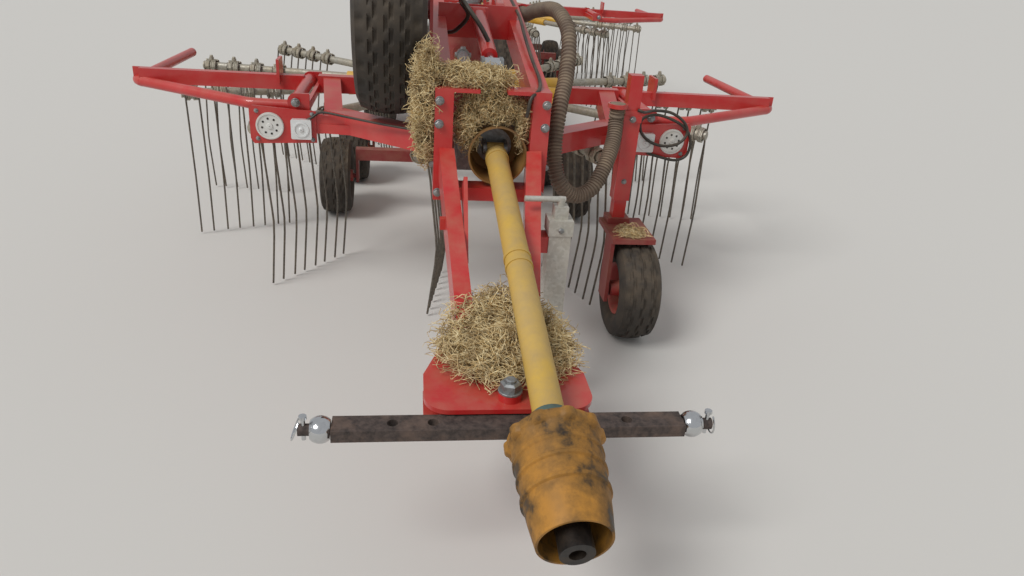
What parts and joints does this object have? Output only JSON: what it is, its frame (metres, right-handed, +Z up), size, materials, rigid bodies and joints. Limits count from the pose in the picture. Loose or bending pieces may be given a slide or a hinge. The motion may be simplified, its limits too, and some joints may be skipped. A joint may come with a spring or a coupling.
{
  "type": "twin rotor hay rake",
  "caption": "Towed hay rake with two tined rotors in line, folding guards, a swinging hitch crossbar, road wheels and a screw jack.",
  "frame": {"origin": "middle of the machine's box, on the ground", "axes": "+Z up, the hitch faces -Y, +X is the machine's right seen from the hitch"},
  "size_m": [3.4882, 8.3376, 1.5849],
  "materials": {
    "red_paint": "gloss paint, dusty, worn at edges",
    "dark_red_paint": "older dull red paint, dusty",
    "yellow_paint": "yellow paint",
    "guard_plastic": "weathered yellow plastic, dusty at the rear",
    "cone_plastic": "ochre plastic, brown with grease and dust",
    "zinc": "hot-dip galvanised steel, mottled",
    "chrome": "bright plated",
    "rusty_steel": "bare steel with a thin rust coat",
    "greasy_iron": "dark greasy iron",
    "lens": "clear lamp lens over a white reflector",
    "white_plastic": "white plastic",
    "hose": "ribbed brown-grey plastic sleeve, dusty",
    "tyre": "dusty brown-black rubber",
    "tines": "galvanised arms with bare spring-steel tines"
  },
  "bodies": {
    "frame": {"headstock": "red_paint", "drawbar_left": "red_paint", "drawbar_right": "red_paint", "arch": "red_paint", "pto_rear_cone": "cone_plastic", "front_gearbox": "zinc", "frame_rails": "red_paint", "rear_frame": "red_paint", "drive_shafts": "zinc", "lift_cylinder": "red_paint", "lift_rod": "chrome", "lift_lever": "zinc", "outrigger_left": "red_paint", "outrigger_right": "red_paint", "lamp_plates": "red_paint", "lamps": "lens", "discs": "white_plastic", "feeler_post": "red_paint", "feeler_fork": "dark_red_paint", "jack_body": "zinc", "jack_crank": "zinc", "corrugated_hose": "hose", "wheel_bracket": "red_paint", "road_axle": "red_paint", "rotor1_carrier": "dark_red_paint"},
    "hitch": {"crossbar": "rusty_steel", "link_balls": "chrome"},
    "pto_shaft": {"pto_guard": "guard_plastic", "pto_front_cone": "cone_plastic", "pto_yoke": "greasy_iron"},
    "jack_leg": {"jack_leg": "zinc"},
    "feeler_wheel": {"feeler_wheel": "tyre"},
    "raised_wheel": {"raised_tyre": "tyre", "raised_rim": "zinc"},
    "road_wheel_left": {"road_tyre_left": "tyre", "road_rim_left": "zinc"},
    "road_wheel_right": {"road_tyre_right": "tyre", "road_rim_right": "zinc"},
    "rotor1": {"rotor1_hub": "yellow_paint", "rotor1_arms": "tines"},
    "guard1_left": {"rotor1_guard_left": "red_paint"},
    "guard1_right": {"rotor1_guard_right": "red_paint"},
    "boom": {"boom": "red_paint", "boom_shaft": "zinc", "rotor2_crossbeam": "red_paint", "rotor2_carrier": "dark_red_paint"},
    "rotor2": {"rotor2_hub": "yellow_paint", "rotor2_arms": "tines"},
    "guard2_left": {"rotor2_guard_left": "red_paint"},
    "guard2_right": {"rotor2_guard_right": "red_paint"},
    "rotor1_wheel_fl": {"rotor1_wheel_fl": "tyre"},
    "rotor1_wheel_fr": {"rotor1_wheel_fr": "tyre"},
    "rotor1_wheel_rl": {"rotor1_wheel_rl": "tyre"},
    "rotor1_wheel_rr": {"rotor1_wheel_rr": "tyre"},
    "rotor2_wheel_fl": {"rotor2_wheel_fl": "tyre"},
    "rotor2_wheel_fr": {"rotor2_wheel_fr": "tyre"},
    "rotor2_wheel_rl": {"rotor2_wheel_rl": "tyre"},
    "rotor2_wheel_rr": {"rotor2_wheel_rr": "tyre"}
  },
  "joints": [
    {"name": "hitch_swing", "type": "hinge", "parent": "frame", "child": "hitch", "pos_m": [-0.35, -3.71962, 0.45], "axis": [0, 0, 1], "range_deg": [-12, 20]},
    {"name": "pto_lift", "type": "hinge", "parent": "frame", "child": "pto_shaft", "pos_m": [-0.3, -2.66961, 0.8], "axis": [-0.9998, -0.0209, 0], "range_deg": [0, 30]},
    {"name": "jack_slide", "type": "slide", "parent": "frame", "child": "jack_leg", "axis": [0, 0, 1], "range_m": [-0.06, 0.22]},
    {"name": "feeler_spin", "type": "hinge", "parent": "frame", "child": "feeler_wheel", "pos_m": [0.3, -2.54962, 0.205], "axis": [1, 0, 0], "continuous": true},
    {"name": "raised_spin", "type": "hinge", "parent": "frame", "child": "raised_wheel", "pos_m": [-0.665, -2.28961, 1.205], "axis": [1, 0, 0], "continuous": true},
    {"name": "boom_swing", "type": "hinge", "parent": "frame", "child": "boom", "pos_m": [-0.325, 1.01039, 1.24], "axis": [0, 0, 1], "range_deg": [-5, 20]},
    {"name": "road_spin_left", "type": "hinge", "parent": "frame", "child": "road_wheel_left", "pos_m": [-0.825, 0.85538, 0.38], "axis": [1, 0, 0], "continuous": true},
    {"name": "road_spin_right", "type": "hinge", "parent": "frame", "child": "road_wheel_right", "pos_m": [0.175, 0.85538, 0.38], "axis": [1, 0, 0], "continuous": true},
    {"name": "rotor1_spin", "type": "hinge", "parent": "frame", "child": "rotor1", "pos_m": [-0.325, -1.02662, 0.69], "axis": [0, 0, 1], "continuous": true},
    {"name": "guard1_left_fold", "type": "hinge", "parent": "frame", "child": "guard1_left", "pos_m": [-1.025, -2.02662, 0.84], "axis": [0, 1, 0], "range_deg": [0, 95]},
    {"name": "guard1_right_fold", "type": "hinge", "parent": "frame", "child": "guard1_right", "pos_m": [0.375, -2.02662, 0.84], "axis": [0, -1, 0], "range_deg": [0, 95]},
    {"name": "rotor1_wheel_fl_spin", "type": "hinge", "parent": "frame", "child": "rotor1_wheel_fl", "pos_m": [-0.985, -1.17661, 0.205], "axis": [1, 0, 0], "continuous": true},
    {"name": "rotor1_wheel_fr_spin", "type": "hinge", "parent": "frame", "child": "rotor1_wheel_fr", "pos_m": [0.335, -1.17661, 0.205], "axis": [1, 0, 0], "continuous": true},
    {"name": "rotor1_wheel_rl_spin", "type": "hinge", "parent": "frame", "child": "rotor1_wheel_rl", "pos_m": [-0.925, -0.59662, 0.205], "axis": [1, 0, 0], "continuous": true},
    {"name": "rotor1_wheel_rr_spin", "type": "hinge", "parent": "frame", "child": "rotor1_wheel_rr", "pos_m": [0.275, -0.59662, 0.205], "axis": [1, 0, 0], "continuous": true},
    {"name": "rotor2_spin", "type": "hinge", "parent": "boom", "child": "rotor2", "pos_m": [0.325, 2.74338, 0.69], "axis": [0, 0, 1], "continuous": true},
    {"name": "guard2_left_fold", "type": "hinge", "parent": "boom", "child": "guard2_left", "pos_m": [-0.375, 1.74338, 0.84], "axis": [0, 1, 0], "range_deg": [0, 95]},
    {"name": "guard2_right_fold", "type": "hinge", "parent": "boom", "child": "guard2_right", "pos_m": [1.025, 1.74338, 0.84], "axis": [0, -1, 0], "range_deg": [0, 95]},
    {"name": "rotor2_wheel_fl_spin", "type": "hinge", "parent": "boom", "child": "rotor2_wheel_fl", "pos_m": [-0.335, 2.59339, 0.205], "axis": [1, 0, 0], "continuous": true},
    {"name": "rotor2_wheel_fr_spin", "type": "hinge", "parent": "boom", "child": "rotor2_wheel_fr", "pos_m": [0.985, 2.59339, 0.205], "axis": [1, 0, 0], "continuous": true},
    {"name": "rotor2_wheel_rl_spin", "type": "hinge", "parent": "boom", "child": "rotor2_wheel_rl", "pos_m": [-0.275, 3.17339, 0.205], "axis": [1, 0, 0], "continuous": true},
    {"name": "rotor2_wheel_rr_spin", "type": "hinge", "parent": "boom", "child": "rotor2_wheel_rr", "pos_m": [0.925, 3.17339, 0.205], "axis": [1, 0, 0], "continuous": true}
  ]
}
